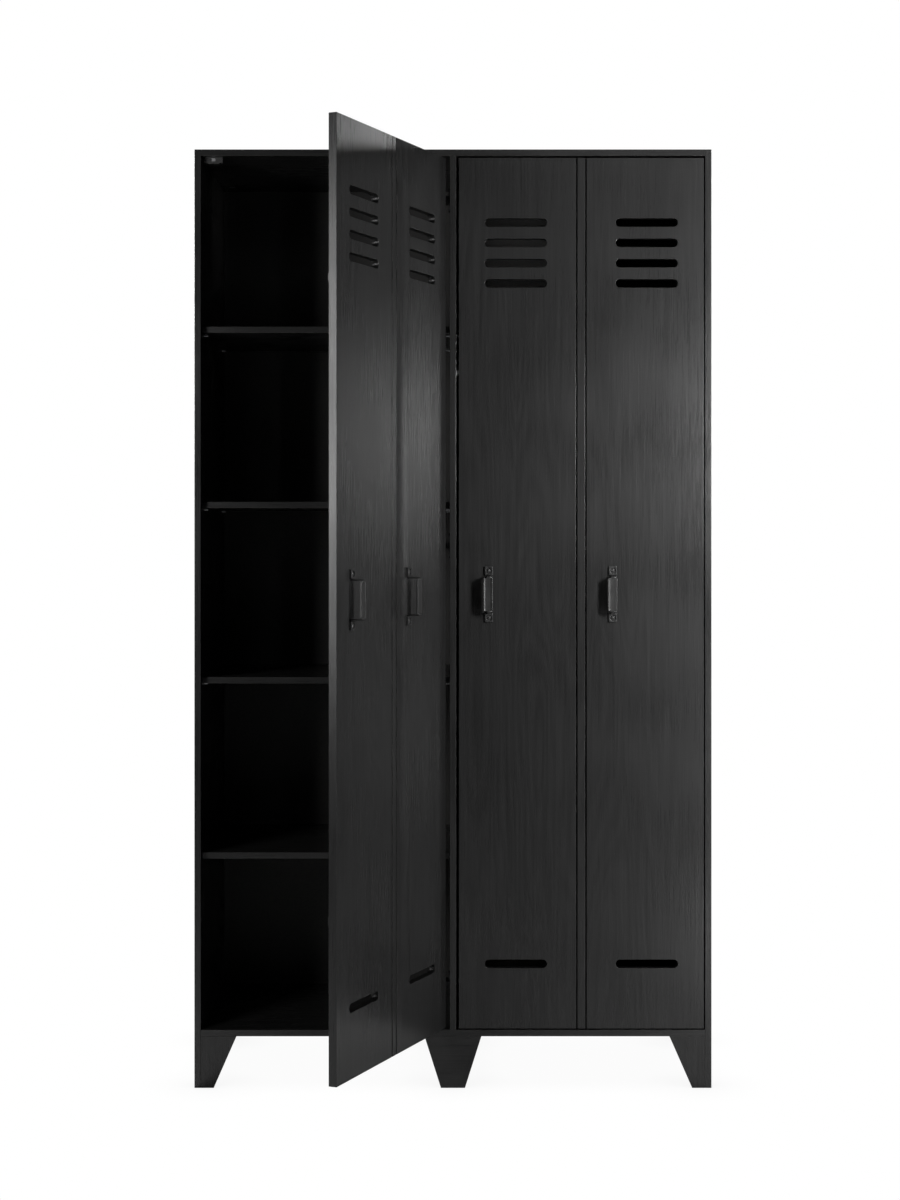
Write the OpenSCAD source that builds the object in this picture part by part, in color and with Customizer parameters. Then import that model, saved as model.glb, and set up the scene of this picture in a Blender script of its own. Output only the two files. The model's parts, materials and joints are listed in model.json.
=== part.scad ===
// Two-door locker cabinet. Each wide door is grooved and slotted to look like two narrow lockers.
// Millimetres, +Z up, +X to the right as seen from the front, +Y from the front into the cabinet.
// The origin is on the floor, in the middle of the underside of the front centre leg.

/* [Carcass] */
// Overall width
body_w = 1050; // [950:10:1150]
// Overall height
body_h = 1906; // [1800:2:2000]
// Depth over the boards and the back boards
body_d = 440; // [380:10:520]
// Thickness of the carcass boards
board_t = 13; // [13:0.5:16]
// Thickness of the back boards
back_t = 3; // [2.5:0.5:4]
// Height of the legs, up to the underside of the bottom panel
leg_h = 105; // [90:5:130]
// Width of a side leg board at the floor
leg_foot_w = 26.2; // [22:0.2:40]
// Width of a side leg board under the bottom panel
leg_top_w = 72.4; // [60:0.2:90]
// Width of a centre leg board at the floor
centre_foot_w = 48.9; // [40:0.1:60]
// Width of a centre leg board under the bottom panel
centre_top_w = 115.5; // [90:0.5:130]

/* [Interior] */
// Distance from the front plane to the shelves' front edges
shelf_setback = 20; // [20:1:40]
// Play at each end of a shelf
shelf_play = 0.5; // [0.3:0.1:1]
// Diameter of the hanging rail
rail_d = 25; // [20:1:30]
// Distance from the hat shelf down to the axis of the hanging rail
rail_drop = 60; // [45:5:90]

/* [Doors] */
// Thickness of the door panels
door_t = 16; // [16:0.5:18]
// Gap above a closed door
gap_top = 4; // [3:0.2:5]
// Gap below a closed door
gap_bottom = 2.6; // [2:0.2:4]
// Gap beside a closed door at its free edge
gap_free = 5.4; // [3:0.2:7]
// Gap beside a closed door at its hinged edge
gap_hinge = 2.6; // [2.4:0.1:3]
// Opening angle of the left door as drawn
left_open = 66.7; // [0:0.1:95]
// Opening angle of the right door as drawn
right_open = 0; // [0:1:95]
// Distance between the two grooves of the false stile
groove_pitch = 18.7; // [15:0.1:25]
// Width of a groove
groove_w = 3; // [2:0.5:4]
// Depth of a groove
groove_depth = 5; // [2:0.5:6]
// Length of a vent slot over its round ends
slot_l = 126; // [100:1:150]
// Height of a vent slot
slot_h = 17; // [12:1:20]
// Distance from the door's middle to the middle of each column of slots
slot_x = 133; // [125:1:140]
// Distance from the door's top or bottom edge to its first slot
slot_from_end = 131.5; // [110:0.5:150]
// Pitch of the slots in the upper group
slot_pitch = 41.2; // [30:0.2:50]
// Number of slots in each upper group
slot_rows = 4; // [3:1:5]

/* [Handles] */
// Distance between the two screws of a handle
handle_screws = 96; // [96:32:128]
// Width of the mounting pads
handle_pad_w = 16.3; // [14:0.1:20]
// Thickness of the mounting pads
handle_pad_t = 4.5; // [4:0.1:5]
// Width of the arms
handle_arm_w = 13; // [11:0.5:15]
// Thickness of the arms
handle_arm_t = 3; // [2:0.5:4]
// Width of the grip
handle_grip_w = 20; // [18:0.5:24]
// Distance from the middle of the pads to the middle of the grip, towards the door's free edge
handle_grip_shift = 2.3; // [0:0.1:3]
// Height of the grip above the door's face
handle_reach = 27; // [24:1:34]
// Distance from the door's free edge to the outer handle
handle_outer_x = 60.9; // [50:0.1:80]
// Distance from the door's free edge to the inner handle
handle_inner_x = 312.7; // [300:0.1:330]

/* [Hidden] */
$fn = 48;
eps = 0.5; // how far a cutter runs past the surface it cuts
shelf_count = 4; // in the left bay, one node each

// Colours
paint = "#1c1c1c";
steel = "silver";
black_nickel = "#3a3a3c";
pine = "burlywood";
zinc = "gainsboro";
plastic = "dimgray";

// Planes of the carcass
front_y = -board_t / 2;
rear_y = front_y + body_d - back_t; // rear edges of the boards
inner_x = body_w / 2 - board_t; // inner faces of the side panels
floor_z = leg_h + board_t; // top face of the bottom panel
ceil_z = body_h - board_t; // underside of the top panel
bay_w = inner_x - board_t / 2;
shelf_clear = (ceil_z - floor_z - shelf_count * board_t) / (shelf_count + 1);
function shelf_z(i) = floor_z + i * shelf_clear + (i - 1) * board_t; // underside of shelf i
hat_z = shelf_z(shelf_count);
rail_z = hat_z - rail_drop;
rail_y = (front_y + rear_y) / 2;

// Doors in their own closed frame: -X from the hinged side, +Y into the cabinet from the front plane
door_w = bay_w - gap_free - gap_hinge;
door_bottom = floor_z + gap_bottom;
door_top = ceil_z - gap_top;
door_mid_x = -gap_hinge - door_w / 2;
door_free_x = -gap_hinge - door_w;
batten_h = 14.5;
batten_t = 12;
batten_from_end = 295.5;
batten_free_margin = 20;
batten_hinge_margin = 45;
batten_screw_margin = 20; // from a batten's end to its first screw
batten_screws = 5;
batten_zs = [door_bottom + batten_from_end, door_top - batten_from_end];
batten_screw_l = batten_t + 10;
strike_t = 1;
strike_h = 10;
strike_free_margin = 8; // from the door's free edge
strike_w = 32;
strike_top_margin = 0.5; // from the door's top edge
strike_screw_margin = 5;
strike_screw_l = 11;
strike_screw_r = 1.4;
strike_head_r = 2.6;
strike_head_t = 1;

// Concealed hinges, with their points in the closed door's frame
arm_pin = [-40.5, 20.5];
cup_pin = [-16.5, 13];
link_bend = [-28, 12.8];
link_ratio = 0.55; // the link turns back by this much of the door's angle
hinge_from_bottom = 81.4;
hinge_mid_from_bottom = 980.4;
hinge_from_top = 78;
cup_r = 17.5;
cup_edge = 3; // between the cup and the door's hinged edge
cup_x = -(gap_hinge + cup_edge + cup_r);
cup_depth = 11.5;
cup_wall = 1;
cup_rim_r = 19;
cup_rim_t = 0.6;
cup_wing_z = 24; // from the cup's middle to each of its screws
cup_wing_r = 7;
cup_wing_t = 1.2;
cup_screw_l = 12;
ear_z = 7.6; // inner faces of the two ears in a cup
ear_t = 1.2;
ear_below = 0.5; // how far the ears stay below the door's rear face
link_z = 4.8; // half height of a link
link_plate_t = 1.8;
link_half_w = 2;
link_web_t = 1.6;
link_eye_r = 3.1;
cheek_z = 5.3; // inner faces of an arm's cheeks
cheek_t = 1.5;
pin_r = 1.5;
pin_play = 0.05;
hinge_heights = [door_bottom + hinge_from_bottom, door_bottom + hinge_mid_from_bottom,
    door_top - hinge_from_top];
plate_y = 53; // depth of the mounting plates' screws
plate_t = 2.5;
plate_wing_r = 8;
plate_wing_margin = 1.5; // from a plate's screw out to the middle of its round end
plate_screw_pitch = 32;
plate_screw_l = plate_t + 10;
plate_block_h = 9;
plate_block_play = 0.2; // between the block and the arm's cheeks
arm_y0 = 31;
arm_y1 = 75;
plate_ys = [arm_y0 + 3, arm_y1 + 2];
plate_block_ys = [arm_y0 + 5, arm_y1 - 2];
arm_web_x = 10.5;
arm_web_t = 1.5;
arm_foot_x = 3; // the cheeks' edges stand this far from the hinged side
arm_knee = [-24, 24.5];
arm_half_w = 3; // half width of the cheeks in front of the plate
arm_eye_r = 3.4;
arm_web_end = [-23.4, 26.4];
arm_web_y = arm_y0 + 1; // where the web bends
arm_cheek_y = arm_y0 + 2; // where the cheeks start
arm_cheek_root = [-7.75, arm_y0 + 6];
arm_screw_ys = [44, 64];
arm_screw_r = 2.5;
arm_screw_l = 8;
arm_screw_head_r = 4;
arm_screw_head_t = 2;

// Fasteners
screw_r = 1.75;
screw_head_r = 3.3;
screw_head_t = 1.8;
screw_tip_r = 0.3;
cross_w = 0.8; // width of the arms of a cross recess
cross_depth = 1;
pin_hole_r = 2.5;
pin_hole_depth = 6;
pin_reach = 8;
pin_ys = [front_y + 60, rear_y - 50];
cam_r = 7.5;
cam_t = 10;
cam_cross_l = 8;
cam_cross_w = 1.2;
cam_cross_depth = 1.5;
cam_from_end = 24;
cam_bolt_r = 3;
dowel_r = 3;
board_bite = 9; // how far bolts and dowels run into a board's face
board_end_bite = 19; // how far dowels run into a board's end
leg_bite = 12; // how far dowels run down into a leg
runner_bite = 16;
cam_ys = [front_y + 60, rear_y - 60];
dowel_ys = [front_y + 100, rear_y - 100];
runner_dowel_ys = [front_y + 140, rear_y - 140];
partition_dowel_ys = [front_y + 110, rear_y - 110];
leg_dowel_xs = [18, 48]; // from the inner face of a side panel
centre_dowel_xs = [-36, 36];
runner_rail_h = 35; // height of the runner's rail over its arch
block_w = 18;
block_h = 85;
block_screw_zs = [leg_h - 22, leg_h - 62];
block_screw_l = block_w + 10;
nail_r = 0.8;
nail_head_r = 2;
nail_head_t = 0.6;
nail_l = 16;
nail_count = 9; // down each upright edge
nail_from_end = 40;
nail_from_joint = 4; // beside the joint of the back boards
back_margin = 1; // between the back boards and the carcass's outline
back_joint = 1; // between the two back boards
shelf_back_play = 1;

// ---------- helpers ----------

module board(x0, y0, z0, x1, y1, z1) {
    translate([x0, y0, z0]) cube([x1 - x0, y1 - y0, z1 - z0]);
}

// A round bar along one axis, from the point p over the length l
module bar_x(p, r, l) {
    translate(p) rotate([0, 90, 0]) cylinder(r = r, h = l);
}

module bar_y(p, r, l) {
    translate(p) rotate([-90, 0, 0]) cylinder(r = r, h = l);
}

module bar_z(p, r, l) {
    translate(p) cylinder(r = r, h = l);
}

function unit_normal(a, b) = [a[1] - b[1], b[0] - a[0]] / norm(b - a);

// A strip of constant width bent at b, seen along Z, from the point a to the point c
module bent_strip(a, b, c, half_w, z0, z1) {
    n1 = unit_normal(a, b);
    n2 = unit_normal(b, c);
    mitre = (n1 + n2) / (1 + n1 * n2);
    translate([0, 0, z0]) linear_extrude(z1 - z0)
        polygon([a + half_w * n1, b + half_w * mitre, c + half_w * n2,
            c - half_w * n2, b - half_w * mitre, a - half_w * n1]);
}

// A countersunk screw along +Y: its flat head ends at p, and its point is l further on
module screw_y(p, l, r = screw_r, head_r = screw_head_r, head_t = screw_head_t) {
    difference() {
        union() {
            translate(p) rotate([-90, 0, 0]) cylinder(r1 = head_r, r2 = r, h = head_t);
            bar_y(p, r, l - 2 * r);
            translate(p + [0, l - 2 * r, 0]) rotate([-90, 0, 0])
                cylinder(r1 = r, r2 = screw_tip_r, h = 2 * r);
        }
        cross_y(p, head_r * 0.6);
    }
}

// The cross recess of a screw head
module cross_y(p, reach) {
    translate(p + [-reach, -eps, -cross_w / 2]) cube([2 * reach, cross_depth + eps, cross_w]);
    translate(p + [-cross_w / 2, -eps, -reach]) cube([cross_w, cross_depth + eps, 2 * reach]);
}

// The space that screw_y fills, without its recess
module screw_hole_y(p, l, r = screw_r, head_r = screw_head_r, head_t = screw_head_t) {
    translate(p) rotate([-90, 0, 0]) cylinder(r1 = head_r, r2 = r, h = head_t);
    bar_y(p, r, l - 2 * r);
    translate(p + [0, l - 2 * r, 0]) rotate([-90, 0, 0])
        cylinder(r1 = r, r2 = screw_tip_r, h = 2 * r);
}

// Outline of the gap between a front and a rear foot, in Y and Z, up to the height h
module foot_arch(y0, y1, foot, top, h) {
    polygon([[y0 + foot, -eps], [y0 + foot, 0], [y0 + top, h], [y1 - top, h],
        [y1 - foot, 0], [y1 - foot, -eps]]);
}

// Turns its children about the upright axis through p
module turn_about(a, p) {
    translate([p[0], p[1], 0]) rotate([0, 0, a]) translate([-p[0], -p[1], 0]) children();
}

// The hinged side's face of each bay, and the frames of what hangs there
function hinge_face(side) = side == "left" ? -board_t / 2 : inner_x;
function open_angle(side) = side == "left" ? left_open : right_open;

module at_hinge_side(side) {
    translate([hinge_face(side), front_y, 0]) children();
}

module on_links(side) {
    at_hinge_side(side) turn_about(-link_ratio * open_angle(side), arm_pin) children();
}

module on_door(side) {
    on_links(side) turn_about((1 + link_ratio) * open_angle(side), cup_pin) children();
}

// ---------- carcass boards ----------

module side_panel(side) {
    s = side == "left" ? -1 : 1;
    x0 = side == "left" ? -body_w / 2 : inner_x;
    difference() {
        board(x0, front_y, 0, x0 + board_t, rear_y, body_h);
        translate([x0 - eps, 0, 0]) rotate([90, 0, 90]) linear_extrude(board_t + 2 * eps)
            foot_arch(front_y, rear_y, leg_foot_w + board_t, leg_top_w + board_t, leg_h);
        for (y = cam_ys, z = [floor_z, body_h]) {
            cam_bolt_x(s, y, z - board_t / 2);
        }
        for (y = dowel_ys, z = [floor_z, body_h]) {
            dowel_x(s, y, z - board_t / 2);
        }
        if (side == "left") left_shelf_pins();
        if (side == "right") {
            hat_shelf_pins();
            rail_screws();
            plate_screw_spaces("right");
        }
        back_nails();
    }
}

module centre_partition() {
    color(paint) difference() {
        board(-board_t / 2, front_y, floor_z, board_t / 2, rear_y, ceil_z);
        for (y = cam_ys) {
            partition_cam_spaces(y);
        }
        partition_dowels();
        left_shelf_pins();
        hat_shelf_pins();
        rail_screws();
        plate_screw_spaces("left");
        back_nails();
    }
}

module top_panel() {
    color(paint) difference() {
        board(-inner_x, front_y, ceil_z, inner_x, rear_y, body_h);
        for (s = [-1, 1], y = cam_ys) {
            bar_z([s * (inner_x - cam_from_end), y, ceil_z - eps], cam_r, cam_t + eps);
            cam_bolt_x(s, y, body_h - board_t / 2);
        }
        for (s = [-1, 1], y = dowel_ys) {
            dowel_x(s, y, body_h - board_t / 2);
        }
        partition_bolts();
        partition_dowels();
        at_catches() catch_screw_spaces();
        back_nails();
    }
}

module bottom_panel() {
    color(paint) difference() {
        board(-inner_x, front_y, leg_h, inner_x, rear_y, floor_z);
        for (s = [-1, 1], y = cam_ys) {
            bar_z([s * (inner_x - cam_from_end), y, leg_h - eps], cam_r, cam_t + eps);
            cam_bolt_x(s, y, floor_z - board_t / 2);
        }
        for (s = [-1, 1], y = dowel_ys) {
            dowel_x(s, y, floor_z - board_t / 2);
        }
        partition_bolts();
        partition_dowels();
        leg_dowels();
        runner_dowels();
        back_nails();
    }
}

module back_board(s) {
    x0 = s < 0 ? -body_w / 2 + back_margin : back_joint / 2;
    x1 = s < 0 ? -back_joint / 2 : body_w / 2 - back_margin;
    color(paint) difference() {
        board(x0, rear_y, leg_h + back_margin, x1, rear_y + back_t, body_h - back_margin);
        back_nails();
    }
}

// ---------- legs ----------

module leg_dowels() {
    for (y = [front_y + board_t / 2, rear_y - board_t / 2]) {
        for (s = [-1, 1], x = leg_dowel_xs) {
            bar_z([s * (inner_x - x), y, leg_h - leg_bite], dowel_r, leg_bite + board_bite);
        }
        for (x = centre_dowel_xs) {
            bar_z([x, y, leg_h - leg_bite], dowel_r, leg_bite + board_bite);
        }
    }
}

module runner_dowels() {
    for (y = runner_dowel_ys) {
        bar_z([0, y, leg_h - runner_bite], dowel_r, runner_bite + board_bite);
    }
}

module side_leg(s, y) {
    color(paint) difference() {
        translate([0, y + board_t, 0]) rotate([90, 0, 0]) linear_extrude(board_t)
            polygon([[s * inner_x, 0], [s * (inner_x - leg_foot_w), 0],
                [s * (inner_x - leg_top_w), leg_h], [s * inner_x, leg_h]]);
        leg_dowels();
        block_screws();
    }
}

module centre_leg(y) {
    color(paint) difference() {
        translate([0, y + board_t, 0]) rotate([90, 0, 0]) linear_extrude(board_t)
            polygon([[-centre_foot_w / 2, 0], [centre_foot_w / 2, 0],
                [centre_top_w / 2, leg_h], [-centre_top_w / 2, leg_h]]);
        leg_dowels();
        block_screws();
    }
}

module centre_runner() {
    y0 = front_y + board_t;
    y1 = rear_y - board_t;
    color(paint) difference() {
        board(-board_t / 2, y0, 0, board_t / 2, y1, leg_h);
        translate([-board_t / 2 - eps, 0, 0]) rotate([90, 0, 90]) linear_extrude(board_t + 2 * eps)
            foot_arch(y0, y1, leg_foot_w, leg_top_w, leg_h - runner_rail_h);
        runner_dowels();
    }
}

// Places its children at each corner block: x side, y side, lowest corner
module at_blocks() {
    for (s = [-1, 1], rear = [0, 1]) {
        y0 = rear == 1 ? rear_y - board_t - block_w : front_y + board_t;
        translate([s > 0 ? inner_x - block_w : -inner_x, y0, leg_h - block_h]) children();
        translate([s > 0 ? board_t / 2 : -board_t / 2 - block_w, y0, leg_h - block_h]) children();
    }
}

module corner_blocks() {
    color(pine) difference() {
        at_blocks() cube([block_w, block_w, block_h]);
        block_screws();
    }
}

// Places of the screws through the blocks into the leg boards
module at_block_screws() {
    for (s = [-1, 1], x = [inner_x - block_w / 2, board_t / 2 + block_w / 2], z = block_screw_zs) {
        translate([s * x, front_y + board_t + block_w, z]) rotate([0, 0, 180]) children();
        translate([s * x, rear_y - board_t - block_w, z]) children();
    }
}

module block_screws() {
    at_block_screws() screw_hole_y([0, 0, 0], block_screw_l);
}

module corner_block_screws() {
    color(zinc) at_block_screws() screw_y([0, 0, 0], block_screw_l);
}

// ---------- joinery ----------

module cam_bolt_x(s, y, z) {
    x0 = s > 0 ? inner_x - cam_from_end : -inner_x - board_bite;
    bar_x([x0, y, z], cam_bolt_r, cam_from_end + board_bite);
}

module dowel_x(s, y, z) {
    x0 = s > 0 ? inner_x - board_end_bite : -inner_x - board_bite;
    bar_x([x0, y, z], dowel_r, board_end_bite + board_bite);
}

// Bolts from the top and bottom panels into the partition's cams
module partition_bolts() {
    for (y = cam_ys) {
        bar_z([0, y, floor_z - board_bite], cam_bolt_r, cam_from_end + board_bite);
        bar_z([0, y, ceil_z - cam_from_end], cam_bolt_r, cam_from_end + board_bite);
    }
}

module partition_dowels() {
    for (y = partition_dowel_ys) {
        bar_z([0, y, floor_z - board_bite], dowel_r, board_end_bite + board_bite);
        bar_z([0, y, ceil_z - board_end_bite], dowel_r, board_end_bite + board_bite);
    }
}

module partition_cam_spaces(y) {
    for (z = [floor_z + cam_from_end, ceil_z - cam_from_end]) {
        bar_x([board_t / 2 - cam_t, y, z], cam_r, cam_t + eps);
    }
    partition_bolts();
}

// One cam lock: a disc with a radial hole for its bolt and a cross in its open face, axis +Z
module cam() {
    difference() {
        cylinder(r = cam_r, h = cam_t);
        translate([0, 0, board_t / 2]) rotate([0, 90, 0]) cylinder(r = cam_bolt_r, h = cam_r + eps);
        for (a = [0, 90]) {
            rotate([0, 0, a]) translate([-cam_cross_l / 2, -cam_cross_w / 2, -eps])
                cube([cam_cross_l, cam_cross_w, cam_cross_depth + eps]);
        }
    }
}

module cam_locks() {
    color(zinc) {
        for (s = [-1, 1], y = cam_ys, z = [leg_h, ceil_z]) {
            translate([s * (inner_x - cam_from_end), y, z]) rotate([0, 0, s > 0 ? 0 : 180]) cam();
        }
        for (y = cam_ys) {
            translate([board_t / 2, y, floor_z + cam_from_end]) rotate([0, -90, 0])
                rotate([0, 0, 180]) cam();
            translate([board_t / 2, y, ceil_z - cam_from_end]) rotate([0, -90, 0]) cam();
        }
    }
}

module cam_bolts() {
    color(zinc) {
        for (s = [-1, 1], y = cam_ys, z = [floor_z, body_h]) {
            cam_bolt_x(s, y, z - board_t / 2);
        }
        partition_bolts();
    }
}

module dowels() {
    color(pine) {
        for (s = [-1, 1], y = dowel_ys, z = [floor_z, body_h]) {
            dowel_x(s, y, z - board_t / 2);
        }
        partition_dowels();
        leg_dowels();
        runner_dowels();
    }
}

// Places of the back-board nails, as points on the boards' rear edges
module at_nails() {
    side_x = body_w / 2 - board_t / 2;
    for (x = [-side_x, -nail_from_joint, nail_from_joint, side_x], i = [0 : nail_count - 1]) {
        z0 = floor_z + nail_from_end;
        z = z0 + i * (ceil_z - nail_from_end - z0) / (nail_count - 1);
        translate([x, rear_y + back_t, z]) children();
    }
    for (s = [-1, 1], f = [1 / 3, 2 / 3], z = [leg_h + board_t / 2, body_h - board_t / 2]) {
        translate([s * f * inner_x, rear_y + back_t, z]) children();
    }
}

module back_nails() {
    at_nails() rotate([90, 0, 0]) {
        cylinder(r = nail_r, h = nail_l);
        cylinder(r = nail_head_r, h = nail_head_t);
    }
}

module back_board_nails() {
    color(zinc) back_nails();
}

// ---------- interior ----------

module shelf(i) {
    color(paint) board(-inner_x + shelf_play, front_y + shelf_setback, shelf_z(i),
        -board_t / 2 - shelf_play, rear_y - shelf_back_play, shelf_z(i) + board_t);
}

module hat_shelf() {
    color(paint) board(board_t / 2 + shelf_play, front_y + shelf_setback, hat_z,
        inner_x - shelf_play, rear_y - shelf_back_play, hat_z + board_t);
}

// A bay's shelf pins at the height z, between the faces x0 and x1
module bay_pins(x0, x1, z) {
    for (y = pin_ys) {
        bar_x([x0 - pin_hole_depth, y, z - pin_hole_r], pin_hole_r, pin_hole_depth + pin_reach);
        bar_x([x1 - pin_reach, y, z - pin_hole_r], pin_hole_r, pin_hole_depth + pin_reach);
    }
}

module left_shelf_pins() {
    for (i = [1 : shelf_count]) {
        bay_pins(-inner_x, -board_t / 2, shelf_z(i));
    }
}

module hat_shelf_pins() {
    bay_pins(board_t / 2, inner_x, hat_z);
}

module shelf_pins() {
    color(zinc) {
        left_shelf_pins();
        hat_shelf_pins();
    }
}

flange_t = 3;
flange_r = 25;
collar_l = 12;
collar_t = 2;
rail_wall = 1.5;
flange_screw_r = 18; // from the rail's axis to each flange screw
flange_screw_l = flange_t + 9;

module hanging_rail() {
    l = bay_w - 2 * flange_t;
    color(steel) difference() {
        bar_x([board_t / 2 + flange_t, rail_y, rail_z], rail_d / 2, l);
        bar_x([board_t / 2 + flange_t - eps, rail_y, rail_z], rail_d / 2 - rail_wall, l + 2 * eps);
    }
}

// One flange on a wall at the origin, its socket along +X
module rail_flange() {
    difference() {
        union() {
            bar_x([0, 0, 0], flange_r, flange_t);
            bar_x([0, 0, 0], rail_d / 2 + collar_t, collar_l);
        }
        bar_x([flange_t, 0, 0], rail_d / 2, collar_l);
        flange_screw_spaces();
    }
}

module at_flange_screws() {
    for (a = [90, 210, 330]) {
        rotate([a, 0, 0]) translate([flange_t, flange_screw_r, 0]) rotate([0, 0, 90]) children();
    }
}

module flange_screw_spaces() {
    at_flange_screws() screw_hole_y([0, 0, 0], flange_screw_l);
}

module at_flanges() {
    translate([board_t / 2, rail_y, rail_z]) children();
    translate([inner_x, rail_y, rail_z]) rotate([0, 0, 180]) children();
}

module rail_flanges() {
    color(steel) at_flanges() rail_flange();
}

module rail_screws() {
    at_flanges() flange_screw_spaces();
}

module rail_flange_screws() {
    color(zinc) at_flanges() at_flange_screws() screw_y([0, 0, 0], flange_screw_l);
}

// ---------- magnetic catches, under the top panel at each door's free edge ----------

catch_w = 38;
catch_h = 13;
catch_d = 20;
catch_ear_z = 2; // how far the ears stand back from the underside
catch_inset = 4.3; // from the free side's face
catch_ear = 7;
catch_play = 0.5; // between a closed door's strike plate and the catch
catch_y = front_y + door_t + strike_t + catch_play;
catch_screw_l = catch_h - catch_ear_z + 8;
catch_head_r = 2.8;
pocket_w = 8;
pocket_d = 15;
pocket_h = 6;
pocket_z = catch_h - 2 - pocket_h;
pole_t = 1.2;
pole_proud = 0.2; // in front of the housing
magnet_back = 1; // behind the housing's front

module at_catches() {
    for (x = [-inner_x, board_t / 2]) {
        translate([x + catch_inset, catch_y, ceil_z - catch_h]) children();
    }
}

// The screws run up through the ears into the top panel
module at_catch_screws() {
    for (x = [catch_ear / 2, catch_w - catch_ear / 2]) {
        translate([x, catch_d / 2, catch_ear_z]) rotate([90, 0, 0]) children();
    }
}

module catch_screw_spaces() {
    at_catch_screws() screw_hole_y([0, 0, 0], catch_screw_l, screw_r, catch_head_r);
}

module catch_housings() {
    color(plastic) at_catches() difference() {
        cube([catch_w, catch_d, catch_h]);
        translate([-eps, -eps, -eps]) cube([catch_ear + eps, catch_d + 2 * eps, catch_ear_z + eps]);
        translate([catch_w - catch_ear, -eps, -eps])
            cube([catch_ear + eps, catch_d + 2 * eps, catch_ear_z + eps]);
        translate([(catch_w - pocket_w) / 2, -eps, pocket_z]) cube([pocket_w, pocket_d + eps, pocket_h]);
        catch_screw_spaces();
    }
}

module catch_magnets() {
    at_catches() translate([(catch_w - pocket_w) / 2, 0, pocket_z]) {
        color(plastic) translate([0, magnet_back, pole_t])
            cube([pocket_w, pocket_d - magnet_back, pocket_h - 2 * pole_t]);
        color(steel) for (z = [0, pocket_h - pole_t]) {
            translate([0, -pole_proud, z]) cube([pocket_w, pocket_d + pole_proud, pole_t]);
        }
    }
}

module catch_screws() {
    color(zinc) at_catches() at_catch_screws()
        screw_y([0, 0, 0], catch_screw_l, screw_r, catch_head_r);
}

// ---------- concealed hinges, cabinet side ----------

module at_hinges() {
    for (z = hinge_heights) {
        translate([0, 0, z]) children();
    }
}

module both_hinge_sides() {
    for (side = ["left", "right"]) {
        at_hinge_side(side) at_hinges() children();
    }
}

// The mounting plates' screws run along +X into the hinged side
module at_plate_screws(side) {
    at_hinge_side(side) at_hinges() for (z = [-plate_screw_pitch / 2, plate_screw_pitch / 2]) {
        translate([-plate_t, plate_y, z]) rotate([0, 0, -90]) children();
    }
}

module plate_screw_spaces(side) {
    at_plate_screws(side) screw_hole_y([0, 0, 0], plate_screw_l);
}

module hinge_plate_screws() {
    color(zinc) for (side = ["left", "right"]) {
        at_plate_screws(side) screw_y([0, 0, 0], plate_screw_l);
    }
}

// A cross-shaped plate with a block for the arm
module hinge_plates() {
    wing_z = plate_screw_pitch / 2 + plate_wing_margin;
    block_z = cheek_z - plate_block_play;
    color(black_nickel) difference() {
        both_hinge_sides() {
            board(-plate_t, plate_y - plate_wing_r, -wing_z, 0, plate_y + plate_wing_r, wing_z);
            for (z = [-wing_z, wing_z]) {
                bar_x([-plate_t, plate_y, z], plate_wing_r, plate_t);
            }
            board(-plate_t, plate_ys[0], -plate_wing_r, 0, plate_ys[1], plate_wing_r);
            board(-plate_block_h, plate_block_ys[0], -block_z, 0, plate_block_ys[1], block_z);
        }
        plate_screw_spaces("left");
        plate_screw_spaces("right");
        both_hinge_sides() arm_screw_spaces();
    }
}

module arm_screw_spaces() {
    for (y = arm_screw_ys) {
        bar_x([-arm_web_x - arm_web_t - eps, y, 0], arm_screw_r, arm_screw_l + 2 * eps);
    }
}

// A channel over the plate's block, whose cheeks run forward to the arm pin behind the door
module hinge_arms() {
    web_mid_x = -arm_web_x - arm_web_t / 2;
    color(black_nickel) both_hinge_sides() difference() {
        union() {
            bent_strip([web_mid_x, arm_y1], [web_mid_x, arm_web_y], arm_web_end, arm_web_t / 2,
                -cheek_z - cheek_t, cheek_z + cheek_t);
            for (z = [-cheek_z - cheek_t, cheek_z]) {
                board(web_mid_x, arm_cheek_y, z, -arm_foot_x, arm_y1, z + cheek_t);
                bent_strip(arm_cheek_root, arm_knee, arm_pin, arm_half_w, z, z + cheek_t);
                bar_z([arm_pin[0], arm_pin[1], z], arm_eye_r, cheek_t);
            }
        }
        arm_screw_spaces();
        bar_z([arm_pin[0], arm_pin[1], -cheek_z - cheek_t - eps], pin_r,
            2 * (cheek_z + cheek_t + eps));
    }
}

// Two adjusting screws through each arm's web into the plate's block
module hinge_arm_screws() {
    web_x = -arm_web_x - arm_web_t;
    color(zinc) both_hinge_sides() for (y = arm_screw_ys) {
        difference() {
            union() {
                bar_x([web_x, y, 0], arm_screw_r, arm_screw_l);
                bar_x([web_x - arm_screw_head_t, y, 0], arm_screw_head_r, arm_screw_head_t);
            }
            translate([web_x - arm_screw_head_t, y, 0]) rotate([0, 0, -90]) cross_y([0, 0, 0], 2.6);
        }
    }
}

module hinge_arm_pins() {
    l = 2 * (cheek_z + cheek_t);
    color(black_nickel) both_hinge_sides() bar_z([arm_pin[0], arm_pin[1], -l / 2], pin_r, l);
}

// ---------- concealed hinges, moving links ----------

// Two bent plates with a web and a sleeve at each pin
module hinge_links(side) {
    color(black_nickel) on_links(side) at_hinges() difference() {
        union() {
            for (z = [-link_z, link_z - link_plate_t]) {
                bent_strip(arm_pin, link_bend, cup_pin, link_half_w, z, z + link_plate_t);
            }
            bent_strip(arm_pin, link_bend, cup_pin, link_web_t / 2, -link_z, link_z);
            for (p = [arm_pin, cup_pin]) {
                bar_z([p[0], p[1], -link_z], link_eye_r, 2 * link_z);
            }
        }
        for (p = [arm_pin, cup_pin]) {
            bar_z([p[0], p[1], -link_z - eps], pin_r + pin_play, 2 * (link_z + eps));
        }
    }
}

// ---------- doors ----------

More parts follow.
